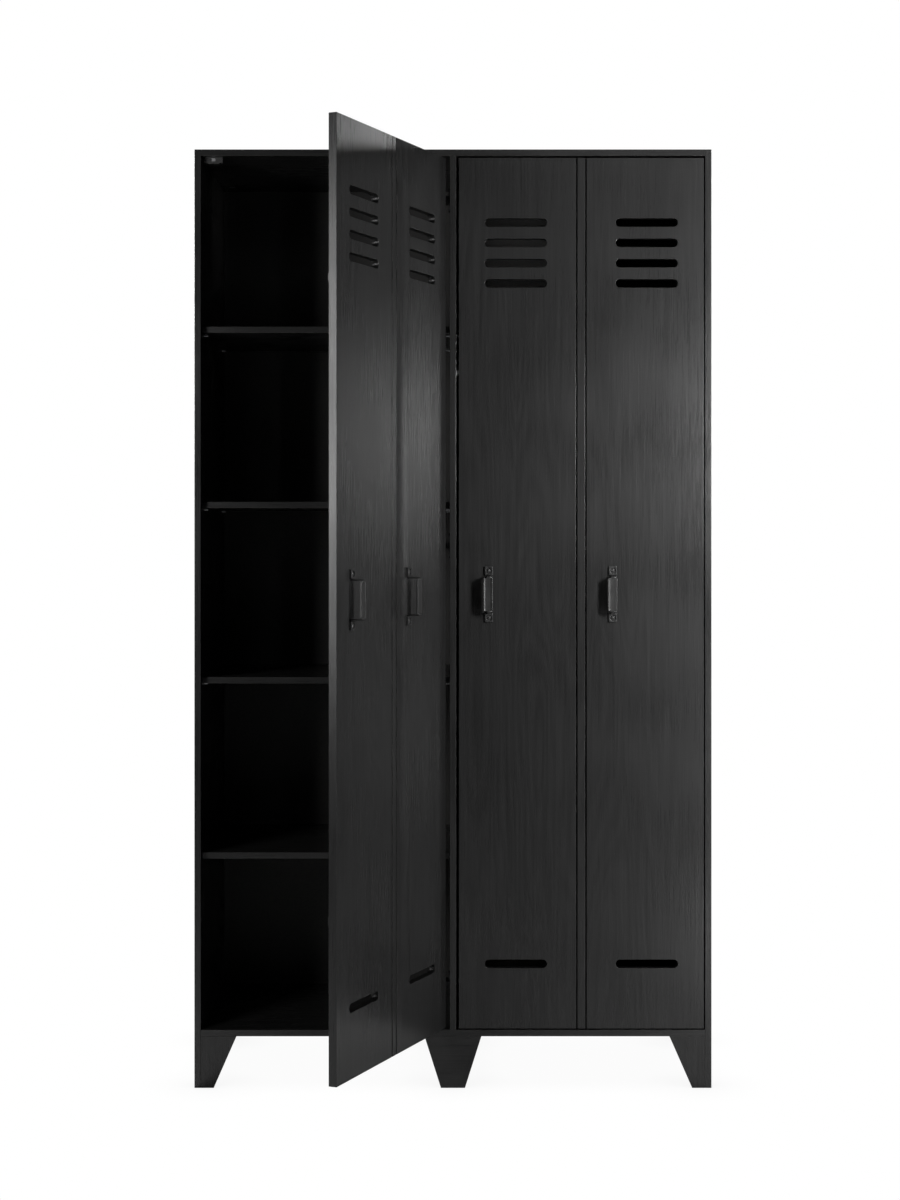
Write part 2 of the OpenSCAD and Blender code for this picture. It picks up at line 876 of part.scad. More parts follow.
module vent_slot(x, z) {
    w = slot_l - slot_h;
    board(x - w / 2, -eps, z - slot_h / 2, x + w / 2, door_t + eps, z + slot_h / 2);
    for (s = [-1, 1]) {
        bar_y([x + s * w / 2, -eps, z], slot_h / 2, door_t + 2 * eps);
    }
}

module cup_space() {
    bar_y([cup_x, door_t - cup_depth, 0], cup_r, cup_depth + eps);
}

// Everything is drawn in the closed door's own frame
module door_panel() {
    difference() {
        board(door_free_x, 0, door_bottom, -gap_hinge, door_t, door_top);
        for (s = [-1, 1]) {
            board(door_mid_x + s * groove_pitch / 2 - groove_w / 2, -eps, door_bottom - eps,
                door_mid_x + s * groove_pitch / 2 + groove_w / 2, groove_depth, door_top + eps);
            for (i = [0 : slot_rows - 1]) {
                vent_slot(door_mid_x + s * slot_x, door_top - slot_from_end - i * slot_pitch);
            }
            vent_slot(door_mid_x + s * slot_x, door_bottom + slot_from_end);
        }
        at_hinges() cup_space();
        handle_screw_spaces();
        door_back_screw_spaces();
    }
}

module door_battens() {
    for (z = batten_zs) {
        difference() {
            board(door_free_x + batten_free_margin, door_t, z - batten_h / 2,
                -batten_hinge_margin, door_t + batten_t, z + batten_h / 2);
            door_back_screw_spaces();
        }
    }
}

// Places of the screws driven from behind, their heads at the origin and their points to the front
module at_batten_screws() {
    x0 = door_free_x + batten_free_margin + batten_screw_margin;
    step = (-batten_hinge_margin - batten_screw_margin - x0) / (batten_screws - 1);
    for (z = batten_zs, i = [0 : batten_screws - 1]) {
        translate([x0 + i * step, door_t + batten_t, z]) rotate([0, 0, 180]) children();
    }
}

module at_cup_screws() {
    at_hinges() for (s = [-1, 1]) {
        translate([cup_x, door_t + cup_wing_t, s * cup_wing_z]) rotate([0, 0, 180]) children();
    }
}

strike_x = [door_free_x + strike_free_margin, door_free_x + strike_free_margin + strike_w];
strike_z = door_top - strike_top_margin - strike_h / 2;

module at_strike_screws() {
    for (x = [strike_x[0] + strike_screw_margin, strike_x[1] - strike_screw_margin]) {
        translate([x, door_t + strike_t, strike_z]) rotate([0, 0, 180]) children();
    }
}

module strike_screw_spaces() {
    at_strike_screws()
        screw_hole_y([0, 0, 0], strike_screw_l, strike_screw_r, strike_head_r, strike_head_t);
}

module door_back_screw_spaces() {
    at_batten_screws() screw_hole_y([0, 0, 0], batten_screw_l);
    at_cup_screws() screw_hole_y([0, 0, 0], cup_screw_l);
    strike_screw_spaces();
}

module door_back_screws() {
    at_batten_screws() screw_y([0, 0, 0], batten_screw_l);
    at_cup_screws() screw_y([0, 0, 0], cup_screw_l);
    at_strike_screws()
        screw_y([0, 0, 0], strike_screw_l, strike_screw_r, strike_head_r, strike_head_t);
}

module strike_plate() {
    difference() {
        board(strike_x[0], door_t, strike_z - strike_h / 2, strike_x[1], door_t + strike_t,
            strike_z + strike_h / 2);
        strike_screw_spaces();
    }
}

// ---------- handles ----------

handle_xs = [door_free_x + handle_outer_x, door_free_x + handle_inner_x];
handle_z = (door_bottom + door_top) / 2 - 2; // middle of the handles
handle_arm_z = 38.5; // half the distance between the arms' outer faces at the door
handle_grip_z = 34.5; // and at the grip
handle_pad_z = 56.5; // half the overall height
handle_grip_t = 2;
handle_lip = 3.5; // depth of the rims along the grip's two long edges
handle_seat_r = 5.8; // the screws' heads sit in round seats in the pads
handle_seat_depth = 2.5;
handle_head_r = 3.9;
handle_head_h = 2.2;
handle_screw_r = 2;
handle_screw_l = 14;

// Side view of the two arms and the grip between them, in Y and Z
module handle_profile() {
    arm_in = handle_arm_t / cos(atan((handle_arm_z - handle_grip_z) / handle_reach));
    polygon([[0, handle_arm_z], [-handle_reach, handle_grip_z],
        [-handle_reach, -handle_grip_z], [0, -handle_arm_z], [0, arm_in - handle_arm_z],
        [handle_grip_t - handle_reach, arm_in - handle_grip_z],
        [handle_grip_t - handle_reach, handle_grip_z - arm_in], [0, handle_arm_z - arm_in]]);
}

module handle(x) {
    grip_x0 = -handle_grip_shift - handle_grip_w / 2;
    grip_x1 = grip_x0 + handle_grip_w;
    difference() {
        translate([x, 0, handle_z]) {
            translate([-handle_arm_w / 2, 0, 0]) rotate([90, 0, 90])
                linear_extrude(handle_arm_w) handle_profile();
            for (z = [-handle_pad_z, handle_arm_z - handle_arm_t]) {
                board(-handle_pad_w / 2, -handle_pad_t, z,
                    handle_pad_w / 2, 0, z + handle_pad_z - handle_arm_z + handle_arm_t);
            }
            for (x0 = [grip_x0, grip_x1 - handle_grip_t]) {
                board(x0, -handle_reach, -handle_grip_z,
                    x0 + handle_grip_t, -handle_reach + handle_lip, handle_grip_z);
            }
            board(grip_x0, -handle_reach, -handle_grip_z,
                grip_x1, -handle_reach + handle_grip_t, handle_grip_z);
        }
        handle_screw_spaces();
        at_handle_screws() bar_y([0, -handle_pad_t - eps, 0], handle_seat_r, handle_seat_depth + eps);
    }
}

// Places of the handles' screws on the door's face
module at_handle_screws() {
    for (x = handle_xs, s = [-1, 1]) {
        translate([x, 0, handle_z + s * handle_screws / 2]) children();
    }
}

module handle_screw_spaces() {
    at_handle_screws() bar_y([0, handle_seat_depth - handle_pad_t, 0], handle_screw_r, handle_screw_l);
}

// Pan-head screws
module handle_screw_set() {
    head_y = handle_seat_depth - handle_pad_t;
    at_handle_screws() difference() {
        union() {
            bar_y([0, head_y, 0], handle_screw_r, handle_screw_l);
            translate([0, head_y, 0]) rotate([90, 0, 0])
                cylinder(r1 = handle_head_r, r2 = handle_head_r * 0.7, h = handle_head_h);
        }
        cross_y([0, head_y - handle_head_h, 0], handle_head_r * 0.52);
    }
}

// ---------- concealed hinges, door side ----------

module hinge_cup() {
    difference() {
        union() {
            bar_y([cup_x, door_t - cup_depth, 0], cup_r, cup_depth);
            bar_y([cup_x, door_t, 0], cup_rim_r, cup_rim_t);
            board(cup_x - cup_wing_r, door_t, -cup_wing_z, cup_x + cup_wing_r, door_t + cup_wing_t,
                cup_wing_z);
            for (z = [-cup_wing_z, cup_wing_z]) {
                bar_y([cup_x, door_t, z], cup_wing_r, cup_wing_t);
            }
        }
        difference() {
            bar_y([cup_x, door_t - cup_depth + cup_wall, 0], cup_r - cup_wall, cup_depth + 2);
            for (z = [-ear_z - ear_t, ear_z]) {
                board(cup_x - cup_r, 0, z, cup_x + cup_r, door_t - ear_below, z + ear_t);
            }
        }
        bar_z([cup_pin[0], cup_pin[1], -ear_z - ear_t], pin_r, 2 * (ear_z + ear_t));
        for (s = [-1, 1]) {
            translate([cup_x, door_t + cup_wing_t, s * cup_wing_z]) rotate([0, 0, 180])
                screw_hole_y([0, 0, 0], cup_screw_l);
        }
    }
}

module hinge_cups(side) {
    color(black_nickel) on_door(side) at_hinges() hinge_cup();
}

module hinge_cup_pins(side) {
    l = 2 * (ear_z + ear_t);
    color(black_nickel) on_door(side) at_hinges() bar_z([cup_pin[0], cup_pin[1], -l / 2], pin_r, l);
}

// ---------- nodes ----------

color(paint) side_panel("left");  // side_panel_left
color(paint) side_panel("right");  // side_panel_right
centre_partition();
top_panel();
bottom_panel();
back_board(-1);  // back_board_left
back_board(1);  // back_board_right
back_board_nails();
shelf(1);  // shelf_1
shelf(2);  // shelf_2
shelf(3);  // shelf_3
shelf(4);  // shelf_4
hat_shelf();
shelf_pins();
hanging_rail();
rail_flanges();
rail_flange_screws();
side_leg(-1, front_y);  // front_leg_left
centre_leg(front_y);  // front_leg_centre
side_leg(1, front_y);  // front_leg_right
side_leg(-1, rear_y - board_t);  // rear_leg_left
centre_leg(rear_y - board_t);  // rear_leg_centre
side_leg(1, rear_y - board_t);  // rear_leg_right
centre_runner();
corner_blocks();
corner_block_screws();
cam_locks();
cam_bolts();
dowels();
catch_housings();
catch_magnets();
catch_screws();
hinge_plates();
hinge_plate_screws();
hinge_arms();
hinge_arm_screws();
hinge_arm_pins();
hinge_links("left");  // hinge_links_left
hinge_links("right");  // hinge_links_right
color(paint) on_door("left") door_panel();  // door_panel_left
color(paint) on_door("left") door_battens();  // door_battens_left
color(zinc) on_door("left") door_back_screws();  // door_back_screws_left
color(zinc) on_door("left") strike_plate();  // strike_plate_left
color(paint) on_door("left") handle(handle_xs[0]);  // handle_left_outer
color(paint) on_door("left") handle(handle_xs[1]);  // handle_left_inner
color(zinc) on_door("left") handle_screw_set();  // handle_screws_left
hinge_cups("left");  // hinge_cups_left
hinge_cup_pins("left");  // hinge_cup_pins_left
color(paint) on_door("right") door_panel();  // door_panel_right
color(paint) on_door("right") door_battens();  // door_battens_right
color(zinc) on_door("right") door_back_screws();  // door_back_screws_right
color(zinc) on_door("right") strike_plate();  // strike_plate_right
color(paint) on_door("right") handle(handle_xs[0]);  // handle_right_outer
color(paint) on_door("right") handle(handle_xs[1]);  // handle_right_inner
color(zinc) on_door("right") handle_screw_set();  // handle_screws_right
hinge_cups("right");  // hinge_cups_right
hinge_cup_pins("right");  // hinge_cup_pins_right
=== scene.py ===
"""Looks of the two-door locker cabinet: painted pine, cast handles, hinges, and a plain white studio."""

import json
import math

import bmesh
import bpy
from mathutils import Matrix, Vector


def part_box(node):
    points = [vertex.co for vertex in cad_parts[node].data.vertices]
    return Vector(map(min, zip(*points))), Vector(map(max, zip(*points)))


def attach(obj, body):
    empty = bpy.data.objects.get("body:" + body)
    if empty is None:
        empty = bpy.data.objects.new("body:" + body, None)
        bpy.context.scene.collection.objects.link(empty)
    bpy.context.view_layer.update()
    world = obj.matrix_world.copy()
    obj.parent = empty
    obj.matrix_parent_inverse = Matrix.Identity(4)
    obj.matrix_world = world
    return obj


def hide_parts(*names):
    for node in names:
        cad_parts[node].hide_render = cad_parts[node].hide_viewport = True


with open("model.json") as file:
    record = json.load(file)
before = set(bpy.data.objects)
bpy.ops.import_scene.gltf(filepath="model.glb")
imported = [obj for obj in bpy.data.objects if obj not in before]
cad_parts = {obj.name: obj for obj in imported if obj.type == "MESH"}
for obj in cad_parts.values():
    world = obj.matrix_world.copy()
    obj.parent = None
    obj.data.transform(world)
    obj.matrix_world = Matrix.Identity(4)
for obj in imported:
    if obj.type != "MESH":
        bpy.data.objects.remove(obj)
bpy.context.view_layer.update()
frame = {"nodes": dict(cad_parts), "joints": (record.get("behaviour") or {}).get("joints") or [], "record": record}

MM = 0.001
SLOT_OF = {part["node"]: part["material_slot"] for part in frame["record"]["subparts"]}
JOINTS = {joint["name"]: joint for joint in frame["joints"]}
COUPLINGS = {c["joint"]: c for c in frame["record"]["behaviour"]["couplings"]}


# ---------- shader helpers ----------


class Surface:
    """A material with its nodes, and short ways to add to them."""

    def __init__(self, name):
        self.material = bpy.data.materials.new(name)
        self.material.use_nodes = True
        self.tree = self.material.node_tree
        self.shader = self.tree.nodes["Principled BSDF"]
        self.place = self.add("TexCoord").outputs["Object"]

    def add(self, kind, sockets=None, **settings):
        node = self.tree.nodes.new("ShaderNode" + kind)
        for key, value in settings.items():
            setattr(node, key, value)
        for key, value in (sockets or {}).items():
            self.put(node.inputs[key], value)
        return node

    def put(self, socket, value):
        if isinstance(value, bpy.types.NodeSocket):
            self.tree.links.new(value, socket)
        else:
            socket.default_value = value

    def set(self, **sockets):
        """Sets or links the shader's own sockets: base_color, roughness, ..."""
        for key, value in sockets.items():
            self.put(self.shader.inputs[key.replace("_", " ").title().replace("Ior", "IOR")], value)

    def math(self, operation, a, b=0.0):
        return self.add("Math", {0: a, 1: b}, operation=operation).outputs[0]

    def scaled(self, scale, vector=None):
        """The object's own coordinates in metres times a scale for each axis."""
        node = self.add("VectorMath", {0: vector or self.place, 1: scale}, operation="MULTIPLY")
        return node.outputs[0]

    def stretched(self, vector, axis, share):
        """The vector with one axis shortened to the share, which draws a texture out along that axis."""
        scale = [1.0, 1.0, 1.0]
        scale[axis] = share
        return self.scaled(scale, vector)

    def shuffled(self):
        """The coordinates moved by a different step on each piece, so that no two boards share a grain."""
        step = self.math("MULTIPLY", self.add("ObjectInfo").outputs["Random"], 9.0)
        move = self.add("CombineXYZ", {"X": step, "Y": step, "Z": step}).outputs[0]
        return self.add("VectorMath", {0: self.place, 1: move}, operation="ADD").outputs[0]

    def noise(self, vector, scale, detail=3.0, roughness=0.5, distortion=0.0):
        sockets = {"Vector": vector, "Scale": scale, "Detail": detail, "Roughness": roughness,
                   "Distortion": distortion}
        return self.add("TexNoise", sockets).outputs["Fac"]

    def span(self, value, low, high, to_low=0.0, to_high=1.0):
        """value, where it runs from low to high, as a number from to_low to to_high."""
        sockets = {"Value": value, "From Min": low, "From Max": high, "To Min": to_low, "To Max": to_high}
        return self.add("MapRange", sockets).outputs["Result"]

    def blend(self, share, a, b):
        """Colour a where share is 0 and b where it is 1."""
        node = self.add("Mix", data_type="RGBA")
        self.put(node.inputs["Factor"], share)
        self.put(node.inputs[6], a)
        self.put(node.inputs[7], b)
        return node.outputs[2]

    def bump(self, height, distance, strength=1.0, under=None):
        sockets = {"Height": height, "Distance": distance, "Strength": strength}
        if under is not None:
            sockets["Normal"] = under
        return self.add("Bump", sockets).outputs["Normal"]

    def rounded(self, radius):
        """The normal of the surface if its edges were rounded to the radius."""
        return self.add("Bevel", {"Radius": radius}, samples=6).outputs["Normal"]

    def edges(self, radius, soft=None):
        """1 on edges that are sharper than the radius and 0 on flat faces."""
        true = self.add("NewGeometry").outputs["True Normal"]
        sockets = {0: soft or self.rounded(radius), 1: true}
        dot = self.add("VectorMath", sockets, operation="DOT_PRODUCT").outputs["Value"]
        return self.span(dot, 0.995, 0.8)

    def occlusion_for_painted_shade(self, reach):
        """1 on open faces, less inside the piece's own grooves and slots; it sets how much shade is painted there.
        """
        return self.add("AmbientOcclusion", {"Distance": reach}, samples=6, only_local=True).outputs["AO"]


def grey(level):
    return (level, level, level, 1.0)


# ---------- materials ----------


# The board paint's tones, as the share of light it returns: in the grain's low and high spots, and the
# painted shade deep in a slot.
PAINT_LOW, PAINT_HIGH, PAINTED_SLOT_SHADE = 0.0105, 0.0225, 0.0015
WORN_ARRIS = (0.055, 0.05, 0.045, 1.0)
# How far the paint rounds an edge, and how far from a wall the painted shade in a slot reaches.
BOARD_ARRIS = 1.1 * MM
SLOT_SHADE_REACH = 30 * MM
GRAIN_DEPTH, STIPPLE_DEPTH = 0.45 * MM, 0.1 * MM
GRAIN_STRETCH, RING_STRETCH = 0.022, 0.09


def painted_pine(name, along):
    """Brushed satin black over pine, whose grain runs along the axis 0, 1 or 2, with shade painted into its slots
    and grooves.
    """
    s = Surface(name)
    place = s.shuffled()
    grain_place = s.stretched(place, along, GRAIN_STRETCH)
    fibres = s.noise(grain_place, 620.0, detail=4.0, roughness=0.62)
    brush = s.noise(grain_place, 190.0, detail=3.0, roughness=0.5)
    warp = s.noise(s.stretched(place, along, RING_STRETCH), 9.0, detail=2.0, distortion=0.4)
    rings = s.math("SINE", s.math("MULTIPLY", warp, 120.0))
    grain = s.math("ADD", s.math("MULTIPLY", fibres, 0.6), s.math("MULTIPLY", brush, 0.4))
    height = s.math("ADD", grain, s.math("MULTIPLY", rings, 0.05))

    arris = s.rounded(BOARD_ARRIS)
    rubs = s.span(s.noise(place, 60.0, detail=4.0), 0.48, 0.66)
    worn = s.math("MULTIPLY", s.edges(BOARD_ARRIS, arris), rubs)
    # Painted shade: the paint's colour is darkened in the board's own slots and grooves, where less light reaches,
    # and its sheen is lowered there by the same mask.
    painted_slot_shade = s.span(s.occlusion_for_painted_shade(SLOT_SHADE_REACH), 0.9, 0.5)
    paint = s.blend(s.span(height, 0.3, 0.7), grey(PAINT_LOW), grey(PAINT_HIGH))
    paint = s.blend(painted_slot_shade, paint, grey(PAINTED_SLOT_SHADE))
    s.set(base_color=s.blend(worn, paint, WORN_ARRIS))

    patches = s.noise(place, 5.0, detail=2.0)
    satin = s.span(patches, 0.3, 0.7, 0.25, 0.32)
    s.set(roughness=s.math("ADD", satin, s.span(fibres, 0.3, 0.7, 0.05, -0.03)))
    stipple = s.bump(s.noise(place, 900.0, detail=2.0), STIPPLE_DEPTH, 0.25, under=arris)
    s.set(normal=s.bump(height, GRAIN_DEPTH, 0.5, under=stipple))
    s.set(specular_ior_level=s.span(painted_slot_shade, 0.0, 1.0, 0.45, 0.2))
    return s.material


# The hardboard's press net in radians for a metre, which puts its wires 1.5 mm apart.
NET_PITCH = 4200.0


def hardboard():
    """Thin board, painted black, with the faint net that the press leaves."""
    s = Surface("back_hardboard")
    axes = s.add("SeparateXYZ", {0: s.place})
    net_x, net_z = (s.math("SINE", s.math("MULTIPLY", axes.outputs[axis], NET_PITCH)) for axis in "XZ")
    flakes = s.noise(s.place, 240.0, detail=4.0, roughness=0.6)
    s.set(base_color=s.blend(s.span(flakes, 0.35, 0.65), grey(0.011), (0.026, 0.024, 0.022, 1.0)))
    s.set(roughness=s.span(flakes, 0.3, 0.7, 0.5, 0.68))
    net = s.math("MULTIPLY", s.math("MULTIPLY", net_x, net_z), 0.3)
    s.set(normal=s.bump(s.math("ADD", net, flakes), 0.2 * MM, 0.5))
    return s.material


def bare_pine():
    """Unpainted wood of the dowels, with fibres and year rings along its height."""
    s = Surface("bare_pine")
    place = s.shuffled()
    fibres = s.noise(s.scaled((1.0, 1.0, 0.03), place), 800.0, detail=4.0)
    warp = s.noise(s.scaled((1.0, 1.0, 0.08), place), 22.0, detail=2.0)
    rings = s.span(s.math("SINE", s.math("MULTIPLY", warp, 70.0)), -1.0, 1.0)
    colour = s.blend(rings, (0.66, 0.47, 0.27, 1.0), (0.5, 0.31, 0.15, 1.0))
    s.set(base_color=s.blend(s.span(fibres, 0.35, 0.7, 0.0, 0.5), colour, (0.72, 0.55, 0.35, 1.0)))
    s.set(roughness=s.span(fibres, 0.3, 0.7, 0.5, 0.66))
    s.set(normal=s.bump(s.math("ADD", fibres, s.math("MULTIPLY", rings, 0.3)), 0.2 * MM, 0.5))
    return s.material


def powder_coat(name, level, gloss):
    """Black coating with the fine orange peel of baked powder, rubbed at its edges."""
    s = Surface(name)
    peel = s.noise(s.place, 1500.0, detail=2.0)
    smears = s.noise(s.place, 70.0, detail=4.0)
    rubbed = s.math("MULTIPLY", s.edges(0.6 * MM), s.span(s.noise(s.place, 350.0, detail=3.0), 0.5, 0.62))
    s.set(base_color=s.blend(rubbed, s.blend(smears, grey(level * 0.75), grey(level * 1.3)), grey(0.09)))
    s.set(roughness=s.span(smears, 0.3, 0.7, gloss, gloss + 0.1))
    s.set(normal=s.bump(peel, 0.12 * MM, 0.35))
    return s.material


def plated(name, colour, low, high, brush_scale, spangle=0.0):
    """Plated steel with brush lines, smears, and crystals where the plate is zinc."""
    s = Surface(name)
    lines = s.noise(s.scaled((1.0, 1.0, 0.05)), brush_scale, detail=3.0)
    smears = s.noise(s.place, 90.0, detail=4.0)
    cells = s.add("TexVoronoi", {"Vector": s.place, "Scale": 700.0}).outputs["Color"]
    tone = s.blend(s.span(smears, 0.3, 0.7), (*[c * 0.82 for c in colour], 1.0), (*colour, 1.0))
    shade = s.span(s.add("SeparateColor", {0: cells}).outputs[0], 0.0, 1.0, 0.0, spangle)
    dirt = s.math("MULTIPLY", s.edges(0.5 * MM), s.span(smears, 0.45, 0.6, 0.0, 0.5))
    s.set(base_color=s.blend(dirt, s.blend(shade, tone, grey(0.38)), grey(0.2)))
    s.set(metallic=1.0)
    s.set(roughness=s.math("ADD", s.span(smears, 0.3, 0.7, low, high), s.span(lines, 0.3, 0.7, 0.0, 0.08)))
    s.set(normal=s.bump(lines, 0.05 * MM, 0.4))
    return s.material


def moulded_plastic():
    """Black plastic with the fine grain of its mould."""
    s = Surface("black_plastic")
    grain = s.add("TexVoronoi", {"Vector": s.place, "Scale": 1600.0}).outputs["Distance"]
    smears = s.noise(s.place, 120.0, detail=3.0)
    s.set(base_color=s.blend(smears, grey(0.018), grey(0.03)))
    s.set(roughness=s.span(smears, 0.3, 0.7, 0.42, 0.55))
    s.set(normal=s.bump(grain, 0.06 * MM, 0.5))
    return s.material


PINE = {axis: painted_pine("black_paint_" + "xyz"[axis], axis) for axis in (0, 2)}
MATERIALS = {
    "back_hardboard": hardboard(),
    "bare_pine": bare_pine(),
    "black_handle_steel": powder_coat("black_handle_steel", 0.02, 0.33),
    "black_screws": powder_coat("black_screws", 0.035, 0.24),
    "hinge_black_nickel": plated("hinge_black_nickel", (0.05, 0.05, 0.052), 0.3, 0.42, 900.0),
    "rail_chrome": plated("rail_chrome", (0.76, 0.76, 0.77), 0.06, 0.14, 500.0),
    "zinc_fasteners": plated("zinc_fasteners", (0.56, 0.57, 0.59), 0.25, 0.4, 1200.0, spangle=0.35),
    "black_plastic": moulded_plastic(),
    "magnet_steel": plated("magnet_steel", (0.42, 0.42, 0.43), 0.3, 0.45, 1500.0),
}


def material_of(node):
    """The finish of a CAD node. A painted board's grain runs along its longer way."""
    slot = SLOT_OF[node]
    if slot != "black_paint":
        return MATERIALS[slot]
    low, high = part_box(node)
    size = high - low
    return PINE[0] if size.x > size.z else PINE[2]


# ---------- CAD nodes ----------

# How wide the sharp edges of each painted material are rounded.
EASED = {"black_paint": 0.6 * MM, "back_hardboard": 0.4 * MM}
ARRIS_SEGMENTS = 3
ARRIS_ANGLE = math.radians(40)
WELD = 0.002 * MM
FLAT_ANGLE = math.radians(0.4)


def ease_edges(obj, width):
    """Joins the mesh's split vertices and flat faces, and rounds its sharp edges."""
    weld = obj.modifiers.new("weld", "WELD")
    weld.merge_threshold = WELD
    flat = obj.modifiers.new("flat", "DECIMATE")
    flat.decimate_type = "DISSOLVE"
    flat.angle_limit = FLAT_ANGLE
    bevel = obj.modifiers.new("arris", "BEVEL")
    bevel.width = width
    bevel.segments = ARRIS_SEGMENTS
    bevel.limit_method = "ANGLE"
    bevel.angle_limit = ARRIS_ANGLE
    bevel.use_clamp_overlap = False
    bevel.harden_normals = True


for name, node in frame["nodes"].items():
    node.data.materials.clear()
    node.data.materials.append(material_of(name))
    if SLOT_OF[name] in EASED:
        ease_edges(node, EASED[SLOT_OF[name]])


# ---------- the doors' own frame ----------


def door_matrix(side):
    """Takes the right door's closed place to the rest place of the door on that side."""
    swing = JOINTS[side + "_door_swing"]
    ratio = COUPLINGS[side + "_links_swing"]["ratio"]
    turn_back = -ratio / (1 + ratio)
    opened = -math.radians(swing["range_deg"][0]) / (1 + turn_back)
    cup_pin = Vector(swing["pos_m"])
    right_pin = Vector(JOINTS["right_door_swing"]["pos_m"])
    return (Matrix.Translation(cup_pin) @ Matrix.Rotation(opened, 4, "Z")
            @ Matrix.Translation(-right_pin))


DOOR = {side: door_matrix(side) for side in ("left", "right")}


def piece(name, mesh, matrix, body, slot, replaced):
    """Adds a finished mesh, in place, riding on its body and standing for the CAD node it replaces."""
    obj = bpy.data.objects.new(name, mesh)
    bpy.context.scene.collection.objects.link(obj)
    obj.data.materials.append(MATERIALS[slot])
    obj.data.transform(matrix)
    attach(obj, body)
    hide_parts(replaced)


def mesh_from(bm, name, smooth_angle):
    """A mesh whose faces are smooth where they meet at less than the angle in degrees."""
    bmesh.ops.recalc_face_normals(bm, faces=bm.faces[:])
    mesh = bpy.data.meshes.new(name)
    bm.to_mesh(mesh)
    bm.free()
    mesh.shade_smooth()
    mesh.set_sharp_from_angle(angle=math.radians(smooth_angle))
    return mesh


# ---------- handles ----------

# The cast handle's sizes in mm. Its widths and thicknesses are the CAD part's. Heights are from its middle.
ARM_W, ARM_T = 13.0, 3.0
GRIP_W, GRIP_T, GRIP_SHIFT, LIP = 20.0, 2.0, -2.3, 3.5
ARM_Z, NECK_Z, GRIP_END_Z = 38.5, 37.4, 32.4
NECK_BEND = 1.6
SWELL = 0.9
ARM_STEPS, BEND_STEPS, SWELL_STEPS, GRIP_STEPS = 6, 8, 5, 8

# The pad: its outline is a superellipse, which squares up as its exponent grows.
PAD_W, PAD_T, PAD_END_Z, PAD_EXPONENT = 16.3, 4.5, 56.5, 26.0
PAD_START_Z = ARM_Z + 0.1
SCREW_Z = 48.0
SEAT_R, SEAT_DEPTH, SEAT_POINT_R, SEAT_TAPER = 5.8, 2.5, 0.5, 0.2
# Softened rims of the pad and of its screw seat: steps sideways and down from the sharp edge.
PAD_RIM = ((0.0, 0.6), (0.1, 0.25), (0.3, 0.06), (0.6, 0.0))
SEAT_RIM = ((0.4, 0.0), (0.1, 0.1), (0.0, 0.4))

# The screw's head: its dome as steps in from the rim and up from the seat, and its cross recess as the
# reach of an arm, the radius between two arms and the depth.
HEAD_R, HEAD_H = 3.9, 2.2
HEAD_DOME = ((0.0, -0.2), (0.0, 0.55), (0.25, 1.1), (0.8, 1.65), (1.6, 2.0), (1.9, 2.08))
CROSS = ((1.95, 0.55, 0.0), (1.75, 0.5, 0.25), (0.9, 0.35, 1.5))
CROSS_SHARPNESS = 6
RING_POINTS = 64
WAYS = (-1, 1)


def ring_faces(bm, rings):
    """Skins a row of rings of equal length, and caps both ends."""
    for a, b in zip(rings, rings[1:]):
        for i in range(len(a)):
            j = (i + 1) % len(a)
            bm.faces.new((a[i], a[j], b[j], b[i]))
    bm.faces.new(rings[0])
    bm.faces.new(list(reversed(rings[-1])))


def turned(bm, middle_z, rings):
    """A closed solid from rings of (x, z) points at distances out from the door. Returns its vertices."""
    made = []
    for points, out in rings:
        made.append([bm.verts.new(Vector((x, -out, middle_z + z)) * MM) for x, z in points])
    ring_faces(bm, made)
    return [vertex for ring in made for vertex in ring]


def around(radius_at):
    """One ring of (x, z) points, whose radius follows from the angle."""
    angles = [2 * math.pi * i / RING_POINTS for i in range(RING_POINTS)]
    return [(radius_at(a) * math.cos(a), radius_at(a) * math.sin(a)) for a in angles]


def pad(bm, way):
    """One mounting pad: a block with softened edges and a round seat for the screw's head."""
    low, high = sorted((way * PAD_START_Z, way * PAD_END_Z))
    middle_z = (low + high) / 2
    shift = SCREW_Z * way - middle_z
    half_w, half_h = PAD_W / 2, (high - low) / 2

    def outline(inset):
        a, b, n = half_w - inset, half_h - inset, PAD_EXPONENT
        return around(lambda t: (abs(math.cos(t) / a) ** n + abs(math.sin(t) / b) ** n) ** (-1 / n))

    def seat(radius):
        return [(x, z + shift) for x, z in around(lambda t: radius)]

    rings = [(outline(0.0), 0.0)]
    rings += [(outline(aside), PAD_T - down) for aside, down in PAD_RIM]
    rings += [(seat(SEAT_R + aside), PAD_T - down) for aside, down in SEAT_RIM]
    rings += [(seat(radius), PAD_T - SEAT_DEPTH) for radius in (SEAT_R - SEAT_TAPER, SEAT_POINT_R)]
    turned(bm, middle_z, rings)


# The strap's front, in shares of its half width and half thickness. Each row is a place across it, the
# height there on the grip, which is a dish between two beads, and the height there on the crowned arms.
STRAP_FRONT = ((0.0, -0.1, 1.0), (0.45, -0.1, 0.82), (0.58, 0.0, 0.68), (0.68, 0.45, 0.54),
               (0.76, 0.85, 0.38), (0.84, 1.0, 0.2), (0.91, 0.9, 0.02), (0.97, 0.5, -0.18), (1.0, 0.0, -0.4))
# The lip behind each side, in mm in from the side: a share of the lip's depth, and a rise in mm.
STRAP_LIP = ((0.0, 1.0, 0.3), (0.3, 1.0, 0.0), (1.1, 1.0, 0.0), (1.5, 0.8, 0.0), (1.9, 0.0, 0.0))


def section(half_w, half_t, beads):
    """Cross-section of the strap, across it and out from its middle: crowned, or with beads and lips."""
    front = [(half_w * x, half_t * (low + (high - low) * beads)) for x, high, low in STRAP_FRONT]
    lip = (LIP - GRIP_T) * beads
    back = [(half_w - inset, rise - half_t - lip * share) for inset, share, rise in STRAP_LIP]
    right = front[1:] + back
    return [front[0]] + right + [(0.0, -half_t)] + [(-x, n) for x, n in reversed(right)]


